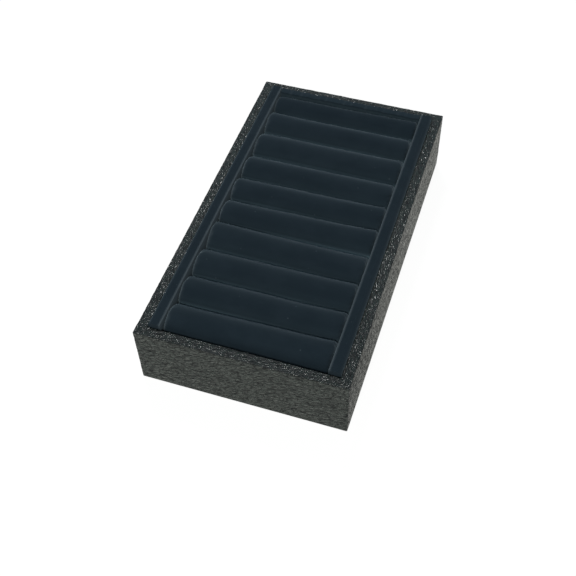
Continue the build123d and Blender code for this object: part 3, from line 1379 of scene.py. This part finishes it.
@dataclass
class Studio:
    """The plain pale floor, the soft lamps and the camera."""

    eye: Triple = (0.11042, -0.33303, 0.41005)
    aim: Triple = (0.00874, -0.05071, 0.038)
    roll: float = -1.902
    lens: float = 59.217
    sensor: float = 36.0
    clip: Range = (0.01, 50.0)
    floor_size: float = 8.0
    floor_drop: float = 0.1 * MM
    floor_paint: Colour = (0.9, 0.9, 0.9, 1.0)
    floor_glow: float = 0.85
    floor_fade: Range = (0.3, 1.5)
    floor_in_gloss: Colour = (0.74, 0.74, 0.69, 1.0)
    near_shade: float = 0.8
    shade_across: Range = (0.050, 0.075)
    shade_along: Range = (-0.13, 0.07)
    black: Colour = (0.0, 0.0, 0.0, 1.0)
    white: Colour = (1.0, 1.0, 1.0, 1.0)
    sky: Colour = (0.73, 0.97, 1.17, 1.0)
    white_strength: float = 1.06
    world_strength: float = 0.15
    gloss_share: float = 0.28
    lamp_target: Triple = (0.0, 0.0, 0.02)
    lamps: list[Lamp] = field(
        default_factory=lambda: [
            Lamp("front_lamp", (0.15, -1.00, 0.98), (0.35, 0.35), 15.2, (1.0, 0.985, 0.92)),
            Lamp("back_lamp", (-0.37, 0.65, 1.22), (0.45, 0.12), 9.0),
        ]
    )

    def build(self) -> None:
        """Sets up the whole studio."""
        self.lay_floor()
        self.light_world()
        for lamp in self.lamps:
            lamp.build(Vector(self.lamp_target))
        self.place_camera()
        bpy.context.scene.view_settings.view_transform = "Standard"

    def sight(self, shader: Shader) -> tuple[Signal, Signal]:
        """1 for rays straight from the camera or through a glass, and 1 for rays in a gloss."""
        rays = ("Is Camera Ray", "Is Transmission Ray", "Is Glossy Ray")
        camera, glass, gloss = (shader.node("ShaderNodeLightPath", output=ray) for ray in rays)
        return shader.maths("MAXIMUM", camera, glass), gloss

    def lay_floor(self) -> None:
        """Lays a pale floor, with painted shade in its gloss beside the tray's near right corner.
        """
        bm = bmesh.new()
        bmesh.ops.create_grid(bm, x_segments=8, y_segments=8, size=self.floor_size / 2)
        bmesh.ops.translate(bm, vec=(0.0, 0.0, -self.floor_drop), verts=bm.verts)
        floor = add_object("studio_floor", make_mesh(bm, "studio_floor"))
        shader = Shader("studio_floor")
        paint = shader.node("ShaderNodeBsdfDiffuse", None, {"Color": self.floor_paint})
        straight, gloss = self.sight(shader)
        place = shader.object_position()
        across = shader.ramp(shader.coordinate(place, "X"), *self.shade_across)
        along = 1.0 - shader.ramp(shader.coordinate(place, "Y"), *self.shade_along)
        # painted shade in the floor as seen in a gloss, beside the tray's near right corner
        in_gloss = shader.tint(across * along * self.near_shade, self.floor_in_gloss, self.black)
        look = shader.tint(straight, in_gloss, self.white)
        glow_inputs = {"Color": look, "Strength": self.white_strength}
        glow = shader.node("ShaderNodeEmission", None, glow_inputs)
        far_off = shader.node("ShaderNodeVectorMath", {"operation": "LENGTH"}, {0: place}, "Value")
        faded = self.floor_glow + (1.0 - self.floor_glow) * shader.ramp(far_off, *self.floor_fade)
        share = shader.maths("MAXIMUM", straight, gloss) * faded
        mixed = shader.node("ShaderNodeMixShader", None, {0: share, 1: paint, 2: glow})
        floor.data.materials.append(shader.finish(mixed))

    def light_world(self) -> None:
        """Makes the surroundings white to look at and plain grey as a light."""
        shader = Shader("studio", world=True)
        straight, gloss = self.sight(shader)
        hue = shader.tint(straight, self.sky, self.white)
        seen = shader.maths("MAXIMUM", straight, gloss * self.gloss_share)
        strength = self.world_strength + (self.white_strength - self.world_strength) * seen
        background = shader.node("ShaderNodeBackground", None, {"Color": hue, "Strength": strength})
        bpy.context.scene.world = shader.finish(background)

    def place_camera(self) -> None:
        """Puts the camera where the photograph was taken from."""
        eye, aim = Vector(self.eye), Vector(self.aim)
        forward = (aim - eye).normalized()
        level = forward.cross(Vector((0.0, 0.0, 1.0))).normalized()
        upright = level.cross(forward)
        roll = math.radians(self.roll)
        right = level * math.cos(roll) + upright * math.sin(roll)
        up = upright * math.cos(roll) - level * math.sin(roll)
        turn = Matrix((right, up, -forward)).transposed()
        data = bpy.data.cameras.new("camera")
        data.lens = self.lens
        data.sensor_width = self.sensor
        data.clip_start, data.clip_end = self.clip
        camera = add_object("camera", data)
        camera.matrix_world = Matrix.Translation(eye) @ turn.to_4x4()
        bpy.context.scene.camera = camera


def main() -> None:
    """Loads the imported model, makes the pieces round it and notes the sizes."""
    logging.basicConfig(level=logging.INFO, format="%(name)s: %(message)s")
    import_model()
    fibreboard = Fibreboard().material()
    tray = Tray(Leatherette().material(), fibreboard, LiningPaper().material(), Felt().material())
    velvet = Velvet().material()
    # the rails' velvet: weaker sheen as painted shade on the rails, and more real lint
    linty = Velvet(sheen=0.14, speck=(4 * MM, 4 * MM, 4 * MM), lint_share=0.35)
    rail_velvet_shaded = linty.material("velvet_on_board")
    # a weaker-sheen copy of the velvet, as painted shade on the farthest bar and the strip behind
    # it
    shaded_velvet = Velvet(sheen=0.09).material("velvet_in_shade")
    foam, card = Foam().material(), GreyCard().material()
    pad = RingPad(velvet, rail_velvet_shaded, shaded_velvet, foam, fibreboard, card)
    for piece in [*tray.build(), *pad.build()]:
        LOG.info("%s: %d faces", piece.name, len(piece.data.polygons))
    Studio().build()


if __name__ == "__main__":
    main()
